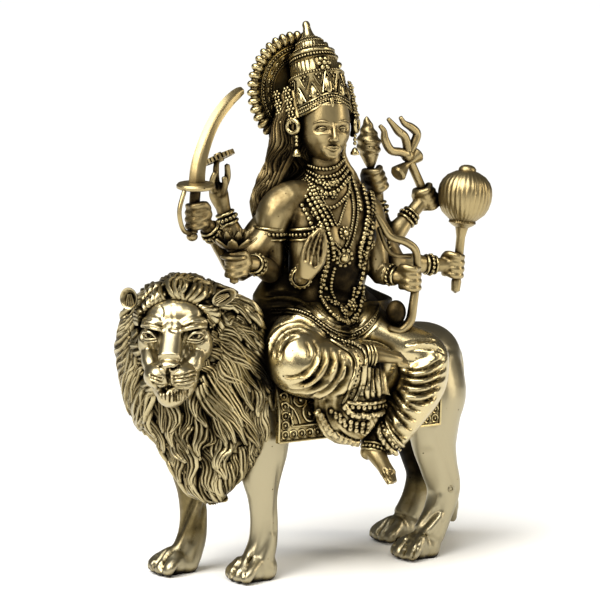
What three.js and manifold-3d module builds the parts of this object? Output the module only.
// A cast brass temple figure: a crowned goddess with eight arms sits sideways on a standing lion.
// The whole group is one casting, so it is one closed solid. Millimetres, +Z up, the lion faces -X
// and the goddess faces -Y. The origin is on the ground under the middle of the bounding box.
import * as THREE from "three";
import { mergeVertices } from "three/addons/utils/BufferGeometryUtils.js";
import Module from "manifold-3d";

const wasm = await Module();
wasm.setup();

// Driving dimensions. The pose and the carving are given for a figure 180 mm tall and follow its height.
const FIGURE_HEIGHT = 180;
const POSE_SOLES = 1.6; // height of the soles in pose points
const POSE_CROWN = 179.8; // height of the crown's tip in pose points
const UNIT = FIGURE_HEIGHT / (POSE_CROWN - POSE_SOLES);

const SADDLE_LENGTH = 64; // along the lion's back
const SADDLE_DROP = 29.8; // from the lion's spine down to the hem
const SADDLE_THICKNESS = 1.8;
const SADDLE_BORDER = 5.2; // width of the studded border
const STUD_RADIUS = 1.9;
const HALO_RADIUS = 18.4; // outside of the petalled rim
const HALO_RIM = 2.3; // radius of the rim's own section
const HALO_PETALS = 22;
const HALO_RELIEF = 0.05;
const HALO_PLATE = 1.8;
const SWORD_WIDTH = 5.6;
const SWORD_THICKNESS = 1.9;
const SWORD_GUARD_RADIUS = 6.3;
const DISCUS_RADIUS = 5.6;
const DISCUS_THICKNESS = 1.8;
const MACE_RADIUS = 9.1;
const MACE_HANDLE = 1.6;
const TRIDENT_SHAFT = 1.7;
const BOW_RADIUS = 1.5;
const CONCH_RADIUS = 4.1;
const LOTUS_RADIUS = 6.6;
const BRACELET_THICKNESS = 1.1;
const GARLAND_RADIUS = 1.7; // of the beaded strands at a bead
const PENDANT_RADIUS = 3;

// The finish: polished brass that has darkened with age.
const BRASS_COLOUR = 0xa48f5a;
const BRASS_ROUGHNESS = 0.36;
const BRASS_METALNESS = 1;

const X = new THREE.Vector3(1, 0, 0);
const Y = new THREE.Vector3(0, 1, 0);
const Z = new THREE.Vector3(0, 0, 1);
const TAU = 2 * Math.PI;
const WELD = 1e-4; // corners nearer than this are one

// A point of the pose, scaled with the figure.
const at = (x, y, z) => new THREE.Vector3(x, y, z).multiplyScalar(UNIT);
const vec = (p) => at(p[0], p[1], p[2]);
const lerp = (a, b, t) => a + (b - a) * t;

// Closed geometry to solid.
function solidOf(geometry) {
  const bare = geometry.index ? geometry.toNonIndexed() : geometry.clone();
  for (const name of Object.keys(bare.attributes)) {
    if (name !== "position") bare.deleteAttribute(name);
  }
  const merged = mergeVertices(bare, WELD);
  return new wasm.Manifold(
    new wasm.Mesh({
      numProp: 3,
      vertProperties: merged.attributes.position.array,
      triVerts: new Uint32Array(merged.index.array),
    }),
  );
}

const join = (parts) => wasm.Manifold.union(parts.flat(Infinity));

// One value of a spline through four neighbours.
function between(a, b, c, d, t) {
  return 0.5 * (2 * b + (c - a) * t + (2 * a - 5 * b + 4 * c - d) * t * t
    + (3 * b - a - 3 * c + d) * t * t * t);
}

// More stations between the given ones, on a smooth curve.
function smoothStations(stations, steps) {
  if (steps < 2) return stations;
  const last = stations.length - 1;
  const out = [];
  for (let i = 0; i < last; i++) {
    const around = [i - 1, i, i + 1, i + 2].map((k) => stations[Math.min(last, Math.max(0, k))]);
    for (let k = 0; k < steps; k++) {
      out.push(around[1].map((_, n) =>
        between(around[0][n], around[1][n], around[2][n], around[3][n], k / steps)));
    }
  }
  out.push(stations[last]);
  return out;
}

// A closed skin over rings with the same number of points, pointed at both ends.
function skin(rings, startTip, endTip) {
  const sides = rings[0].length;
  const positions = [];
  const index = [];
  for (const ring of rings) {
    for (const p of ring) positions.push(p.x, p.y, p.z);
  }
  const tip0 = rings.length * sides;
  positions.push(startTip.x, startTip.y, startTip.z, endTip.x, endTip.y, endTip.z);
  for (let r = 0; r + 1 < rings.length; r++) {
    for (let s = 0; s < sides; s++) {
      const a = r * sides + s;
      const b = r * sides + ((s + 1) % sides);
      index.push(a, b, b + sides, a, b + sides, a + sides);
    }
  }
  for (let s = 0; s < sides; s++) {
    const n = (s + 1) % sides;
    const end = (rings.length - 1) * sides;
    index.push(tip0, n, s, tip0 + 1, end + s, end + n);
  }
  const geometry = new THREE.BufferGeometry();
  geometry.setAttribute("position", new THREE.Float32BufferAttribute(positions, 3));
  geometry.setIndex(index);
  return solidOf(geometry);
}

// A limb or fold: stations are [x, y, z, half width, half height] along its line. The width lies
// across the line and the hint, and the height along the hint. profile(side, ring, angle) shapes it.
function sweep(stations, { sides = 8, steps = 1, hint = Z, dome = 0.45, profile = () => 1 } = {}) {
  const line = smoothStations(stations, steps);
  const centres = line.map(vec);
  const tangents = centres.map((_, i) =>
    centres[Math.min(i + 1, centres.length - 1)].clone().sub(centres[Math.max(i - 1, 0)]).normalize());
  const rings = line.map((station, i) => {
    const across = tangents[i].clone().cross(hint).normalize();
    const upward = across.clone().cross(tangents[i]);
    return Array.from({ length: sides }, (_, s) => {
      const angle = TAU * (s + 0.5) / sides;
      const reach = profile(s, i, angle) * UNIT;
      return centres[i].clone()
        .addScaledVector(across, -Math.cos(angle) * station[3] * reach)
        .addScaledVector(upward, Math.sin(angle) * station[4] * reach);
    });
  });
  const end = line.length - 1;
  const round = (i) => dome * UNIT * Math.min(line[i][3], line[i][4]);
  return skin(rings,
    centres[0].clone().addScaledVector(tangents[0], -round(0)),
    centres[end].clone().addScaledVector(tangents[end], round(end)));
}

const ball = (x, y, z, rx, ry = rx, rz = rx, across = 8, down = 5) =>
  solidOf(new THREE.SphereGeometry(UNIT, across, down).rotateX(Math.PI / 2)
    .scale(rx, ry, rz).translate(x * UNIT, y * UNIT, z * UNIT));

// A frame whose own Z runs along an axis through a point, for turned pieces.
function standing(point, axis, front = Y) {
  const up = axis.clone().normalize();
  const side = front.clone().cross(up).normalize();
  const forward = up.clone().cross(side);
  return new THREE.Matrix4().makeBasis(side, forward, up).setPosition(point);
}

// A turned piece: the profile is [radius, height] pairs from the axis back to the axis.
// With a relief every other segment stands in by that share, which makes flutes or petals.
function turned(profile, segments, matrix, relief = 0) {
  const outline = profile.map(([r, h]) => new THREE.Vector2(r * UNIT, h * UNIT));
  const geometry = new THREE.LatheGeometry(outline, segments);
  const place = geometry.attributes.position;
  for (let i = 0; relief && i < place.count; i++) {
    const side = Math.floor(i / outline.length) % segments;
    const reach = side % 2 ? 1 - relief : 1;
    place.setXYZ(i, place.getX(i) * reach, place.getY(i), place.getZ(i) * reach);
  }
  geometry.rotateX(Math.PI / 2);
  return solidOf(geometry.applyMatrix4(matrix));
}

// The lion.
const LION_MIDDLE = 3; // Y of the lion's spine
const SPINE = [
  [62, LION_MIDDLE, 63, 6, 7], [58.6, LION_MIDDLE, 63.6, 11.5, 12.4],
  [50, LION_MIDDLE, 64.2, 15, 15], [36, LION_MIDDLE, 63.6, 15, 14],
  [16, LION_MIDDLE, 63.3, 15.3, 13.7], [-4, LION_MIDDLE, 63.6, 16, 14.6],
  [-18, LION_MIDDLE, 64, 17, 18], [-32, 2, 63, 16, 19.5], [-42, 1, 60, 9, 13],
];

// A leg from the body down to its paw: [x, y, z, half width across, half width fore and aft].
const hindLeg = (x, y, inward) => [
  [x + 6.5, y + 5 * inward, 67, 8, 12.5], [x + 6.8, y + inward, 57, 8, 12], [x + 5.8, y, 48, 7, 9.8],
  [x + 6.2, y, 40, 6, 8.2], [x + 8.2, y, 32, 5.2, 6.8], [x + 10.2, y, 24, 4.8, 6.1],
  [x + 7.6, y, 15.6, 4.4, 5.4], [x + 4, y, 9, 5, 5.6],
];
const foreLeg = (x, y, inward) => [
  [x + 1, y + 4 * inward, 64, 8, 11], [x + 2.4, y + inward, 54, 8.4, 10.4], [x + 3.4, y, 45, 7.6, 9],
  [x + 3.4, y, 36, 6.4, 7.6], [x + 3.4, y, 27, 5.2, 5.9], [x + 3, y, 19, 4.7, 5.3],
  [x + 1.8, y, 11.6, 5, 5.5], [x + 0.6, y, 7, 5, 5.6],
];
const LEGS = [
  { form: hindLeg, x: 41, y: -9.4, inward: 1, paw: 41 },
  { form: hindLeg, x: 51, y: 16.5, inward: -1, paw: 50.4 },
  { form: foreLeg, x: -22, y: -6.8, inward: 1, paw: -22 },
  { form: foreLeg, x: -34.8, y: 16, inward: -1, paw: -37.6 },
];

// The paw is one form whose upper front is lobed into toes.
const TOE_LOBES = [1, 1.12, 0.82, 1.12, 0.82, 1.12, 0.82, 1.12, 1];
function paw(x, y) {
  return sweep([
    [x + 6.6, y, 5, 4, 4], [x - 0.6, y, 5, 6.2, 5.2], [x - 7.4, y, 3.4, 5, 2.7],
  ], {
    sides: TOE_LOBES.length + 4, // four more run under the sole
    dome: 0.1,
    profile: (side, ring) => (ring > 0 && TOE_LOBES[side]) || 1,
  });
}

const TAIL = [
  [60, 4, 72, 3, 3], [67, 6, 66, 2.6, 2.6], [70.5, 9, 52, 2.3, 2.3], [70, 12, 36, 2.1, 2.1],
  [69, 13, 21, 2.2, 2.2], [69.5, 13, 14, 3.8, 3.8], [72, 12, 8, 1.8, 1.8],
];

function lionBody() {
  const legs = LEGS.map(({ form, x, y, inward, paw: pawX }) => [
    sweep(form(x, y, inward), { sides: 6, hint: X, dome: 0.1 }),
    paw(pawX, y),
  ]);
  return [sweep(SPINE, { sides: 10, dome: 0.3 }), legs, sweep(TAIL, { sides: 5, hint: X })];
}

// The mane hangs round a head that is turned towards the lion's left. Its sections are ellipses:
// [x, y, z, half width across the face, half depth], and the width runs along MANE_SIDE.
const MANE_TURN = THREE.MathUtils.degToRad(33);
const MANE_SIDE = new THREE.Vector3(Math.cos(MANE_TURN), -Math.sin(MANE_TURN), 0);
const MANE_BACK = new THREE.Vector3(Math.sin(MANE_TURN), Math.cos(MANE_TURN), 0);
const MANE = [
  [-40.5, 3.5, 100.6, 6, 6], [-41, 2.8, 97.4, 13, 11], [-40.6, 2.5, 89, 20.5, 15],
  [-39.2, 2, 78, 23, 16.5], [-37.8, 2, 68, 22.6, 16.5], [-35.6, 1, 58, 20.8, 15.5],
  [-34.8, -1.8, 49, 17, 13], [-35.6, -3.6, 41, 12.6, 9.5], [-36.6, -5.4, 34.5, 8, 6],
  [-36.5, -7, 29.4, 3, 2.6],
];
const NECK = [
  [-44, 1, 78, 16, 18], [-25, LION_MIDDLE, 69.5, 18, 18.5], [-16, LION_MIDDLE, 66, 15, 14],
];

// Rows of locks lie over each other like shingles: each row swells towards its lower edge, and
// every other side stands proud, with the proud ones changing place from row to row.
const MANE_SIDES = 22;
const MANE_ROWS = 7;
const LOCK_RELIEF = 0.085; // how far a lock stands out, as a share of the mane's radius
const ROW_SWELL = 0.82; // how far down a row its lower edge stands proud
const ROW_PROUD = 0.05;
const ROW_SUNK = -0.03;

function maneBody() {
  const rings = [];
  const top = MANE[1][2];
  const low = MANE[MANE.length - 1][2];
  for (let row = 0; row < MANE_ROWS; row++) {
    for (const share of [0, ROW_SWELL]) {
      const height = lerp(top, low, (row + share) / MANE_ROWS);
      rings.push({ height, row, proud: share > 0 ? ROW_PROUD : ROW_SUNK });
    }
  }
  const lock = (side, row) => ((side + row) % 2 ? LOCK_RELIEF : -LOCK_RELIEF);
  return sweep(rings.map(({ height }) => maneSection(height)), {
    sides: MANE_SIDES,
    hint: MANE_BACK,
    profile: (side, ring) => 1 + rings[ring].proud + lock(side, rings[ring].row),
  });
}

// The section of the mane at a height, between the given ones.
function maneSection(height) {
  let k = 0;
  while (k < MANE.length - 2 && MANE[k + 1][2] > height) k++;
  const t = THREE.MathUtils.clamp((MANE[k][2] - height) / (MANE[k][2] - MANE[k + 1][2]), 0, 1);
  return MANE[k].map((value, n) => (n === 2 ? height : lerp(value, MANE[k + 1][n], t)));
}

// The head's own frame: its -Y is the way the lion looks.
const HEAD_TURN = THREE.MathUtils.degToRad(-46);
const HEAD = new THREE.Matrix4().makeRotationZ(HEAD_TURN).setPosition(at(-51.5, -6.5, 83.5));

const EAR_RADIUS = 4.3;
const EAR_THICKNESS = 2.3;
const NOSE_BRIDGE = [[0, -10.5, 8.5, 4.6, 3.4], [0, -15.5, 1.5, 3.9, 3.4], [0, -19.3, -5.2, 3.5, 2.6]];

function lionHead() {
  const skull = ball(0, -1, 2, 12, 12.4, 13.5, 9, 6);
  const chin = ball(0, -14.4, -13.8, 5.2, 5, 4.4, 6, 5);
  const sides = [-1, 1].map((s) => [
    ball(s * 3.7, -14.6, -8.4, 5, 6.4, 4.6, 6, 4), // muzzle
    sweep([[s * 2.8, -12.4, 4.4, 1.5, 1.5], [s * 8.8, -9.8, 4, 1.5, 1.5]], { sides: 4 }), // brow
    ball(s * 12.2, 0.5, 11.4, EAR_RADIUS, EAR_THICKNESS, EAR_RADIUS * 1.1, 7, 4),
  ]);
  return [skull, sweep(NOSE_BRIDGE, { sides: 6 }), chin, sides].flat(Infinity)
    .map((part) => part.transform(HEAD.elements));
}

// The saddle cloth: an arch over the lion's back with a studded border on both flaps.
const SADDLE_MIDDLE = 11.5; // X of its centre
const SADDLE_TOP = 77.6;
const SADDLE_HEM = SADDLE_TOP - SADDLE_DROP;
const SADDLE_ARCH = [ // [Y, share of the drop] up the near flap; the far flap mirrors it
  [-16.9, 0], [-17.3, 0.35], [-15.6, 0.68], [-10.5, 0.92], [LION_MIDDLE - 5, 1],
];
const FLAP_SHARE = 0.9; // the part of the drop that hangs as a flap
const BORDER_DEPTH = 3; // how deep the hem's border strip is let into the flap
const STUD_PITCH = 12;
const STUD_RISE = 0.9;
const STUD_ROOT = 0.6;

// A prism along X over an outline of [y, z] pairs.
function prism(outline, x0, x1) {
  const shape = new THREE.Shape(outline.map(([y, z]) => new THREE.Vector2(y * UNIT, z * UNIT)));
  const geometry = new THREE.ExtrudeGeometry(shape, { depth: (x1 - x0) * UNIT, bevelEnabled: false });
  const place = new THREE.Matrix4().makeBasis(Y, Z, X).setPosition(x0 * UNIT, 0, 0);
  return solidOf(geometry.applyMatrix4(place));
}

// The cloth's outline, set in all round by an inset.
function saddleArch(inset) {
  const near = SADDLE_ARCH.map(([y, share]) => {
    const height = SADDLE_HEM + SADDLE_DROP * share;
    return share < FLAP_SHARE ? [y + inset, height] : [y, height - inset];
  });
  return [...near, ...near.map(([y, z]) => [2 * LION_MIDDLE - y, z]).reverse()];
}

// How far out the near flap hangs at a height.
function flapAt(z) {
  const share = (z - SADDLE_HEM) / SADDLE_DROP;
  let k = 0;
  while (k < SADDLE_ARCH.length - 2 && SADDLE_ARCH[k + 1][1] < share) k++;
  const [[y0, s0], [y1, s1]] = [SADDLE_ARCH[k], SADDLE_ARCH[k + 1]];
  return lerp(y0, y1, (share - s0) / (s1 - s0));
}

function saddleCloth() {
  const x0 = SADDLE_MIDDLE - SADDLE_LENGTH / 2;
  const x1 = SADDLE_MIDDLE + SADDLE_LENGTH / 2;
  const sunk = SADDLE_THICKNESS / 3;
  const parts = [
    prism(saddleArch(sunk), x0, x1),
    prism(saddleArch(0), x0, x0 + SADDLE_BORDER),
    prism(saddleArch(0), x1 - SADDLE_BORDER, x1),
  ];
  const borderTop = SADDLE_HEM + SADDLE_BORDER;
  const inner = flapAt(SADDLE_HEM) + BORDER_DEPTH;
  const strip = [
    [flapAt(SADDLE_HEM), SADDLE_HEM], [flapAt(borderTop), borderTop], [inner, borderTop], [inner, SADDLE_HEM],
  ];
  const stud = [[0, -STUD_ROOT], [STUD_RADIUS, -STUD_ROOT], [0, STUD_RISE]];
  for (const side of [-1, 1]) {
    const face = (y) => (side < 0 ? y : 2 * LION_MIDDLE - y);
    parts.push(prism(strip.map(([y, z]) => [face(y), z]), x0, x1));
    const outward = Y.clone().multiplyScalar(side);
    for (const [x, z] of studPlaces(x0 + SADDLE_BORDER / 2, x1 - SADDLE_BORDER / 2)) {
      parts.push(turned(stud, 4, standing(at(x, face(flapAt(z)), z), outward, X)));
    }
  }
  return parts;
}

// The middles of a flap's studs: a row along the hem and a short column up each end.
function studPlaces(x0, x1) {
  const z0 = SADDLE_HEM + SADDLE_BORDER / 2;
  const along = Math.max(1, Math.round((x1 - x0) / STUD_PITCH));
  const upward = Math.round(SADDLE_DROP / 2 / STUD_PITCH);
  const row = Array.from({ length: along + 1 }, (_, k) => [lerp(x0, x1, k / along), z0]);
  const columns = [x0, x1].map((x) =>
    Array.from({ length: upward }, (_, k) => [x, z0 + STUD_PITCH * (k + 1)]));
  return [...row, ...columns.flat()];
}

// The goddess.
const TORSO = [
  [12, 4, 75, 25, 14], [11.6, 4, 84, 27.6, 13], [11.8, 4, 91.4, 26, 11.5], [12.6, 1, 94.8, 13, 9],
  [13.6, -1.2, 97.5, 10.6, 7.8], [12.4, -1.6, 104, 12.8, 9], [11.6, -2.4, 111, 15.4, 10.6],
  [11.3, -0.8, 117.5, 17.6, 8.6], [11, 0.3, 122.5, 15, 7], [10.8, 0.8, 126.5, 8.5, 6],
  [10.6, 0.6, 129.5, 5.2, 5], [9.6, 0, 137, 4.8, 4.8],
];
const HAIR = [
  [7.5, 6, 158, 9, 7], [7.4, 7.5, 148, 12, 7], [7.8, 8.5, 138, 12.6, 6.5], [8.6, 9, 129, 19, 6.4],
  [9.4, 9, 121, 22.6, 6.4], [11, 9.5, 110, 19, 5.4], [13, 9, 95, 10, 4],
];
const RIGHT_LEG = [
  [6, -2, 82, 11, 9.5], [-6, -11, 80, 11, 10], [-14, -18, 76, 10.8, 10.8], [-13, -21.5, 72.5, 10, 10],
  [-4, -23.5, 71, 8.5, 9.5], [5, -25, 71.5, 5.5, 7.5], [10, -26, 72, 3, 4.5],
];
const LEFT_LEG = [
  [22, -1, 80, 10, 9], [34, -9, 74, 9.6, 8], [42.6, -14, 70.2, 9, 8.8], [45.2, -16.5, 65, 8.6, 9],
  [39, -19.5, 60, 9.4, 8.4], [30.5, -21.5, 54.5, 8, 7], [22.5, -22.5, 49, 5.6, 5.4], [18, -23, 46, 4.2, 4.4],
];
const RIGHT_FOOT = [
  [8, -26, 72.5, 3.2, 2.8], [13, -27, 72.4, 3, 2.6], [18, -27.6, 71.6, 3.2, 2.2],
  [21.4, -27.8, 70.8, 2.4, 1.6],
];
const LEFT_FOOT = [
  [17.6, -20.5, 47.5, 3.6, 4.2], [15, -22.6, 44.4, 4, 4.4], [13.6, -28, 41.6, 3.9, 3.7],
  [13.2, -33.5, 38, 4, 2.6], [13, -38, 34.4, 2.9, 1.7],
];

// The skirt's folds run round the right knee and along the left leg and the apron.
const FOLD_RELIEF = 0.085; // as a share of the leg's radius
const roundFolds = (side, ring) => 1 + (ring % 2 ? FOLD_RELIEF : -FOLD_RELIEF);
const longFolds = (side) => 1 + (side % 2 ? FOLD_RELIEF : -FOLD_RELIEF);

// The apron between the knees: an upper and a lower fall of pleats.
const APRON_UPPER = [[8, -20, 80, 9, 7], [9, -22, 72, 10, 7], [8, -23, 61, 10.5, 6.4]];
const APRON_LOWER = [
  [7, -22, 67, 11, 5.4], [4, -22.4, 60, 14, 5.6], [7.6, -22.5, 54.6, 12.6, 5.4], [11.2, -22, 51.2, 8.4, 4.8],
];
const APRON_SIDES = 14;
const apron = () => [APRON_UPPER, APRON_LOWER].map((fall) =>
  sweep(fall, { sides: APRON_SIDES, hint: Y, dome: 0.1, profile: longFolds }));

// A beaded line: one tube that swells and narrows once per bead.
const BEAD_WAIST = 0.66; // radius between two beads, as a share of a bead's
const BEADS_PER_SPAN = 2;
function beaded(points, radius) {
  const line = smoothStations(points, BEADS_PER_SPAN);
  return sweep(line.map((p, i) => {
    const size = radius * (i % 2 ? 1 : BEAD_WAIST);
    return [...p, size, size];
  }), { sides: 4, dome: 0.5 });
}

// Ornaments that hang on the chest: a long garland, a collar and two pendants.
const GARLAND = [
  [-2.5, 1, 127], [-0.6, -9, 120], [1.5, -12.8, 110], [3.6, -12.5, 100], [5.4, -11.5, 92], [10, -13.5, 85.5],
  [17, -11.8, 93], [19.6, -12.4, 101], [21, -12.8, 110], [21.5, -9, 120], [22.5, 1, 127],
];
const COLLAR = [[1.5, 1, 129], [2.5, -6.4, 123.5], [10.6, -10.2, 117], [18.4, -6.4, 123.5], [20, 1, 129]];
const PENDANTS = [[11.4, -9.6, 102], [11.4, -13.4, 84]];
const PENDANT_HALF = 1.5;

function ornaments() {
  const cone = [[0, -PENDANT_HALF], [PENDANT_RADIUS, -PENDANT_HALF], [0, PENDANT_HALF]];
  return [
    beaded(GARLAND, GARLAND_RADIUS), beaded(COLLAR, GARLAND_RADIUS),
    PENDANTS.map((place) => turned(cone, 7, standing(vec(place), Y.clone().negate(), Z))),
  ];
}

// The sash round the hips.
const SASH = [
  [-9, -6, 88.6], [-2, -13, 87.1], [4, -18, 83.6], [12, -21, 78.1], [22, -17.5, 79.6], [30, -10, 85.6],
  [33, -4, 90.6],
];
const SASH_HALF_WIDTH = 3;
const SASH_HALF_DEPTH = 2.8;
const sash = () => sweep(SASH.map((place) => [...place, SASH_HALF_WIDTH, SASH_HALF_DEPTH]), { sides: 6 });

// The goddess's head. Her face looks towards -Y, and its parts are placed from its middle.
const FACE = [8.4, -1, 146.2];
const NOSE = [[0, -8.4, 3.4, 0.8, 0.8], [0, -10.2, -0.4, 1.1, 1.1], [0, -10.6, -1.9, 1.7, 1.1]];
const EAR_PENDANT = [[9, 1.4, 2.6, 1.2, 1.4], [9.2, 1.2, -1.6, 1.8, 2], [9, 0.8, -9.6, 1.2, 1.4]];
const SIDE_LOCK = [
  [8.8, 2.6, 4, 1.6, 1.6], [10.6, 2.6, -6, 3.2, 3.2], [12.6, 1.6, -15, 3.2, 3.2], [17, 0.6, -23, 1.6, 1.6],
];

function head() {
  const inFace = (stations, side = 1) => stations.map(([x, y, z, ...girth]) =>
    [FACE[0] + side * x, FACE[1] + y, FACE[2] + z, ...girth]);
  const [x, y, z] = FACE;
  return [
    ball(x, y + 0.6, z + 1.5, 8.8, 9.4, 10.5, 9, 6), // skull and cheeks
    ball(x, y - 2.4, z - 5.4, 6.4, 6.6, 6, 7, 5), // jaw
    ball(x, y - 8.6, z - 4.9, 2.5, 1.3, 1.1, 6, 4), // lips
    sweep(inFace(NOSE), { sides: 6, hint: X }),
    [-1, 1].map((side) => [
      sweep(inFace(EAR_PENDANT, side), { sides: 5, hint: Y }),
      sweep(inFace(SIDE_LOCK, side), { sides: 4, dome: 0.3 }),
    ]),
  ];
}

// The crown leans back from the brow: profile of [radius, height] along its axis.
const CROWN_BASE = at(8.2, 0, 152.6);
const CROWN_LEAN = new THREE.Vector3(0, 0.33, 0.944);
const CROWN_FLUTES = 7;
const CROWN_RELIEF = 0.05;
const CROWN_PROFILE = [
  [0, -1], [10, -1], [10.6, 2.4], [9.6, 3], [10, 7], [8.2, 8.2], [8.2, 12.6], [5.8, 16.6], [4.2, 20],
  [1.8, 23.2], [1.5, 27.2], [0, 28.7],
];

const crown = () => [
  turned(CROWN_PROFILE, 2 * CROWN_FLUTES, standing(CROWN_BASE, CROWN_LEAN, X), CROWN_RELIEF),
  ball(8.2, -8.2, 159.8, 3.4, 2, 5, 6, 4), // crest over the brow
];

// The halo is a plate behind the head with a petalled rim.
const HALO = at(6.8, 12.8, 158);
function halo() {
  const half = HALO_PLATE / 2;
  const reach = HALO_RADIUS - HALO_RIM;
  const profile = [
    [0, -half], [reach - HALO_RIM, -half], [reach, -HALO_RIM], [HALO_RADIUS, 0], [reach, HALO_RIM],
    [reach - HALO_RIM, half], [0, half],
  ];
  return turned(profile, HALO_PETALS, standing(HALO, Y, X), HALO_RELIEF);
}

// Arms, in pose points. A hand closed round a rod has a grip, which is the rod's own direction.
const UPRIGHT = [0, 0, 1];
const ARMS = {
  blessing: {
    shoulder: [-3, -2, 118.5], elbow: [-12, -3.5, 97], wrist: [-8.3, -13, 99.5], hand: [-7, -16, 104.5],
  },
  sword: {
    shoulder: [-5, 3, 118], elbow: [-22, 1, 101], wrist: [-36, -3, 115.5], hand: [-41, -3.6, 120],
    grip: UPRIGHT,
  },
  discus: {
    shoulder: [-5.5, 5, 119.5], elbow: [-18.5, 6.5, 106], wrist: [-23.6, 8, 119], hand: [-26, 8, 126.5],
  },
  lotus: {
    shoulder: [-6, 0, 117.5], elbow: [-10.5, -3, 98.5], wrist: [-21, -8, 103.6], hand: [-28, -9, 104.4],
    grip: UPRIGHT,
  },
  bow: {
    shoulder: [25.5, -1, 117], elbow: [27.6, -5, 98], wrist: [30, -11.5, 97], hand: [33.6, -14.6, 97],
    grip: UPRIGHT,
  },
  mace: {
    shoulder: [26, 1, 117], elbow: [38, 0, 100], wrist: [52, -3, 98.6], hand: [59, -4, 98.6],
    grip: UPRIGHT,
  },
  trident: {
    shoulder: [26, 3, 118.5], elbow: [35.6, 3.4, 105.5], wrist: [46.6, 3, 116], hand: [52.4, 2.8, 121.6],
    grip: [-0.55, 0, 0.83],
  },
  conch: {
    shoulder: [26, 5, 119], elbow: [38.4, 8.5, 107.5], wrist: [36.4, 9, 119.6], hand: [35.8, 9, 127.8],
    grip: [-0.4, 0, 1],
  },
};
const UPPER_ARM = 4.7;
const ELBOW = 3.9;
const WRIST = 2.5;
const PALM = 3.4;
const ARMLETS = ["blessing", "lotus"];
const FRONT_LEFT = new THREE.Vector3(-0.54, -0.84, 0); // the way the hands and held things face
const FINGER = 1.35; // half the thickness of a finger
const FINGERS = 4;
const FIST_HALF_WIDTH = 4.4;
const FIST_HALF_DEPTH = 3.8;
const KNUCKLE_WAIST = 0.74; // girth between two fingers, as a share of a finger's

const mid = (a, b, t) => a.map((v, n) => lerp(v, b[n], t));

function arm([name, { shoulder, elbow, wrist, hand, grip }]) {
  const upper = (share, radius) => [...mid(shoulder, elbow, share), radius, radius];
  const fore = (share, radius) => [...mid(elbow, wrist, share), radius, radius];
  const armlet = UPPER_ARM + BRACELET_THICKNESS / 2;
  const middle = ARMLETS.includes(name)
    ? [upper(0.4, UPPER_ARM), upper(0.5, armlet), upper(0.6, UPPER_ARM)]
    : [upper(0.5, UPPER_ARM)];
  const end = grip
    ? [[...mid(wrist, hand, 0.7), WRIST, WRIST]]
    : [[...hand, PALM, PALM * 0.75], [...mid(wrist, hand, 1.3), PALM * 0.7, PALM * 0.5]];
  const limb = sweep([
    upper(0, UPPER_ARM * 0.9), ...middle, fore(0, ELBOW), fore(0.45, ELBOW * 0.93),
    fore(0.8, WRIST * 1.1), fore(0.9, WRIST + BRACELET_THICKNESS), fore(1, WRIST), ...end,
  ], { sides: 5, hint: FRONT_LEFT });
  return grip ? [limb, fingersRound(hand, new THREE.Vector3(...grip).normalize())] : [limb];
}

// Four fingers folded over a rod: one form with a waist between the fingers.
function fingersRound(hand, up) {
  const stations = Array.from({ length: 2 * FINGERS + 1 }, (_, k) => {
    const along = (k / (2 * FINGERS) - 0.5) * FINGERS * FINGER * 2;
    const girth = k % 2 ? 1 : KNUCKLE_WAIST;
    const middle = new THREE.Vector3(...hand).addScaledVector(FRONT_LEFT, 1.2).addScaledVector(up, along);
    return [...middle, FIST_HALF_WIDTH * girth, FIST_HALF_DEPTH * girth];
  });
  return sweep(stations, { sides: 5, hint: FRONT_LEFT, dome: 0.3 });
}

// A sweep with one round girth along plain points.
function rod(points, radius, options = {}) {
  const stations = points.map(([x, y, z, own = radius]) => [x, y, z, own, own]);
  return sweep(stations, { sides: 4, hint: FRONT_LEFT, ...options });
}

// The raised right palm, fingers together and the thumb apart.
const BLESSING_PALM = [
  [-8.2, -14, 100.5, 2.8, 2.2], [-7.4, -15.8, 103.5, 3.9, 1.9], [-6, -16.8, 107.5, 4.2, 1.6],
  [-5, -17.2, 114.8, 3, 1.2],
];
const blessingHand = () => [
  sweep(BLESSING_PALM, { sides: 10, hint: FRONT_LEFT, dome: 0.6, profile: longFolds }),
  rod([[-4.4, -16, 102.5, 1.5], [-1.6, -17.5, 106.6, 1.2]], FINGER, { dome: 0.8 }),
];

// What the other hands hold: first a curved sword with a guard disc and a knuckle bow.
const SWORD_GUARD_HALF = 0.9;
const SWORD_GRIP_RADIUS = 1.7;
const SWORD_GUARD = [-41.3, -4, 128];
const SWORD_POMMEL = [-42.6, -4, 113.8];
const BLADE = [ // [x, y, z, share of the blade's width, share of its thickness]
  [-40.6, -4, 127.5, 1, 1], [-40, -3.5, 135, 1, 1], [-37.4, -2.6, 142.6, 1, 1], [-33, -1.2, 149.4, 1, 1],
  [-27.4, 0.2, 155.2, 0.9, 1], [-21, 1.6, 158.8, 0.35, 0.5],
];

function sword() {
  const guard = [
    [0, -SWORD_GUARD_HALF], [SWORD_GUARD_RADIUS, -SWORD_GUARD_HALF], [SWORD_GUARD_RADIUS, SWORD_GUARD_HALF],
    [0, SWORD_GUARD_HALF],
  ];
  const blade = BLADE.map(([x, y, z, width, depth]) =>
    [x, y, z, width * SWORD_WIDTH / 2, depth * SWORD_THICKNESS / 2]);
  return [
    sweep(blade, { sides: 4, hint: FRONT_LEFT }),
    turned(guard, 9, standing(vec(SWORD_GUARD), new THREE.Vector3(-0.05, -0.1, 1))),
    rod([SWORD_GUARD, SWORD_POMMEL], SWORD_GRIP_RADIUS, { sides: 5, hint: Y }),
    rod([[-46.6, -6, 127.6], [-49, -7, 121.5], [-47, -6, 115.6], SWORD_POMMEL], 1.05),
  ];
}

// A discus seen nearly edge on, with the fingers that hold it.
const DISCUS_CENTRE = [-26, 8, 136.8];
const DISCUS_LIE = new THREE.Vector3(11.2, 0, 3.4).normalize();

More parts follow.
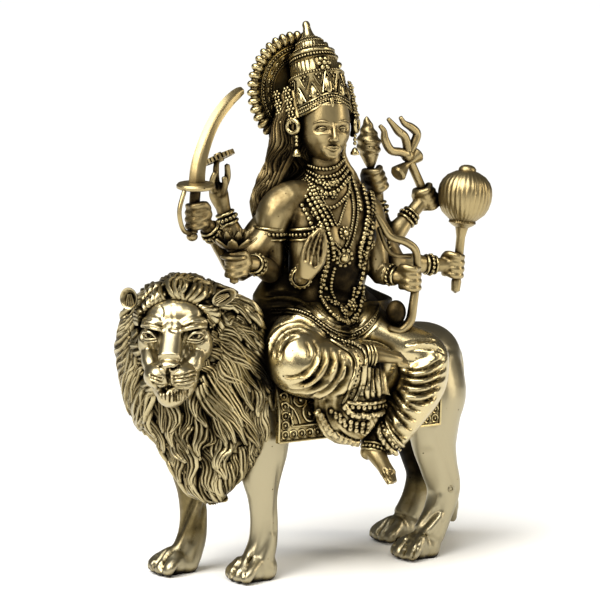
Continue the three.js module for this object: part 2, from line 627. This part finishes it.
function discus() {
  const half = DISCUS_THICKNESS / 2;
  return [
    turned([[0, -half], [DISCUS_RADIUS, -half], [DISCUS_RADIUS, half], [0, half]], 10,
      standing(vec(DISCUS_CENTRE), DISCUS_LIE.clone().cross(Y), DISCUS_LIE)),
    rod([[-26.4, 7.8, 127, 1.5], [...DISCUS_CENTRE, 1.2]], FINGER),
    rod([[-24.4, 7.2, 127, 1.4], [-24, 6.4, 133.6, 1.1]], FINGER),
    rod([[-27.2, 6.8, 130.6, 1.5], [-26.4, 6.4, 126, 1.4]], FINGER),
  ];
}

// A lotus bud opening on its stem.
const LOTUS_BASE = [-29.4, -9.6, 112.4];
const LOTUS_PETALS = 6;
const LOTUS_RELIEF = 0.2;
const LOTUS_STEM_LENGTH = 13.8;
const LOTUS_STEM_RADIUS = 1.5;

function lotus() {
  const [x, y, z] = LOTUS_BASE;
  const profile = [
    [0, -3], [0.4, -2.6], [0.85, 0], [1, 3], [0.4, 1], [0.33, 3], [0, 3],
  ].map(([share, height]) => [share * LOTUS_RADIUS, height]);
  return [
    turned(profile, 2 * LOTUS_PETALS, standing(vec(LOTUS_BASE), Z), LOTUS_RELIEF),
    rod([[x, y, z], [x, y, z - LOTUS_STEM_LENGTH]], LOTUS_STEM_RADIUS, { sides: 5, hint: Y }),
  ];
}

// A bow that curls in at its lower end round a fruit, with its string.
const BOW_LINE = [
  [21.6, -12, 117.6, 0.9], [23.6, -12.6, 114.6], [26.2, -13.6, 110.4], [31.4, -15.4, 108],
  [34.6, -16.4, 104.6], [34.6, -16, 97], [33.2, -15.8, 87.4], [32.4, -15.4, 82.4], [29.4, -14.6, 79.6],
  [25.6, -14, 80.6, 1.2],
];
const BOW_STRING = [[22.4, -12.2, 113.4], [26.4, -13, 105], [33, -15.4, 103.6]];
const BOW_STRING_RADIUS = 0.8;

const bow = () => [
  rod(BOW_LINE, BOW_RADIUS, { sides: 5 }),
  ball(28.8, -13, 85.4, 3.6, 3.4, 4.2, 6, 5),
  rod(BOW_STRING, BOW_STRING_RADIUS),
];

// A mace with a wide ribbed head.
const MACE_HEAD = [62, -5.6, 121.6];
const MACE_LEAN = new THREE.Vector3(0.1, -0.02, 1);

function mace() {
  const head = [
    [0.37, -9.6], [0.59, -7.6], [0.9, -4], [1, 0], [0.87, 4.4], [0.5, 7.8], [0.24, 8.6], [0.22, 9.8],
    [0, 10.4],
  ].map(([share, height]) => [share * MACE_RADIUS, height]);
  const handle = [[0, -33], [MACE_HANDLE, -31], [MACE_HANDLE, -12]];
  return turned([...handle, ...head], 11, standing(vec(MACE_HEAD), MACE_LEAN, Y));
}

// A trident with a drum tied under its prongs.
const TRIDENT_HUB = [42.4, 1.2, 134.2];
const TRIDENT_BUTT = [56, 3.2, 113.6];
const PRONG_RADIUS = 1.6;
const PRONG_TIP = 0.7;
const PRONGS = [
  [[39.6, 1.4, 139.4], [35.7, 0.6, 147.6]],
  [[45.4, 1, 138], [44.6, 0.4, 142], [40.4, -0.6, 147.6]],
  [[37.2, 1.6, 135], [34.2, 1.8, 139], [30.6, 1.8, 143]],
];
const DRUM = [
  [37.6, 0.4, 128, 1.6], [39.4, 0.7, 129.4, 2.4], [42.6, 1.2, 131.6, 1.3], [46.4, 1.9, 134.4, 2.9],
  [49, 2.2, 136.2, 1.8],
];

function trident() {
  const prong = (points) => {
    const tip = points[points.length - 1];
    return rod([TRIDENT_HUB, ...points.slice(0, -1), [...tip, PRONG_TIP]], PRONG_RADIUS, { dome: 0.8 });
  };
  return [
    rod([TRIDENT_BUTT, TRIDENT_HUB], TRIDENT_SHAFT, { sides: 5 }),
    PRONGS.map(prong),
    rod(DRUM, TRIDENT_SHAFT, { sides: 5 }),
  ];
}

// A conch with a knobbed shoulder, point upward.
const CONCH_CENTRE = [32.6, 8.4, 139.4];
const CONCH_LEAN = new THREE.Vector3(-0.1, 0, 1);

function conch() {
  const profile = [
    [0, -9], [0.44, -8.4], [0.83, -4], [1, 0], [0.8, 1.8], [0.78, 3], [0.51, 4.4], [0.46, 5.6], [0, 8.6],
  ].map(([share, height]) => [share * CONCH_RADIUS, height]);
  return turned(profile, 8, standing(vec(CONCH_CENTRE), CONCH_LEAN));
}

const goddess = () => [
  sweep(TORSO, { sides: 9, hint: Y }), sweep(HAIR, { sides: 8, hint: Y }),
  sweep(RIGHT_LEG, { sides: 8, steps: 2, profile: roundFolds }),
  sweep(LEFT_LEG, { sides: 14, profile: longFolds }),
  sweep(RIGHT_FOOT, { sides: 5 }), sweep(LEFT_FOOT, { sides: 6 }),
  apron(), sash(), ornaments(), head(), crown(), halo(), Object.entries(ARMS).map(arm),
];

const held = () => [blessingHand(), sword(), discus(), lotus(), bow(), mace(), trident(), conch()];

// The paws stand flat on the ground, and everything is moved so that the origin is under the middle.
function planted(solid) {
  const flat = solid.trimByPlane([0, 0, 1], POSE_SOLES * UNIT);
  const { min, max } = flat.boundingBox();
  return flat.translate([-(min[0] + max[0]) / 2, -(min[1] + max[1]) / 2, -min[2]]);
}

// Where carved forms meet, a pinhole can stay closed off inside. The casting is solid there.
const filled = (solid) => join(solid.decompose().filter((body) => body.volume() > 0));

function meshOf(solid, name) {
  const data = solid.getMesh();
  const geometry = new THREE.BufferGeometry();
  geometry.setAttribute("position", new THREE.Float32BufferAttribute(data.vertProperties, 3));
  geometry.setIndex(Array.from(data.triVerts));
  geometry.computeVertexNormals();
  const brass = new THREE.MeshStandardMaterial({
    color: BRASS_COLOUR, roughness: BRASS_ROUGHNESS, metalness: BRASS_METALNESS, flatShading: true,
  });
  const mesh = new THREE.Mesh(geometry, brass);
  mesh.name = name;
  return mesh;
}

const neck = sweep(NECK, { sides: 8 });
const casting = join([lionBody(), neck, maneBody(), lionHead(), saddleCloth(), goddess(), held()]);

const root = new THREE.Group();
root.add(meshOf(filled(planted(casting)), "durga_on_lion"));
export default root;
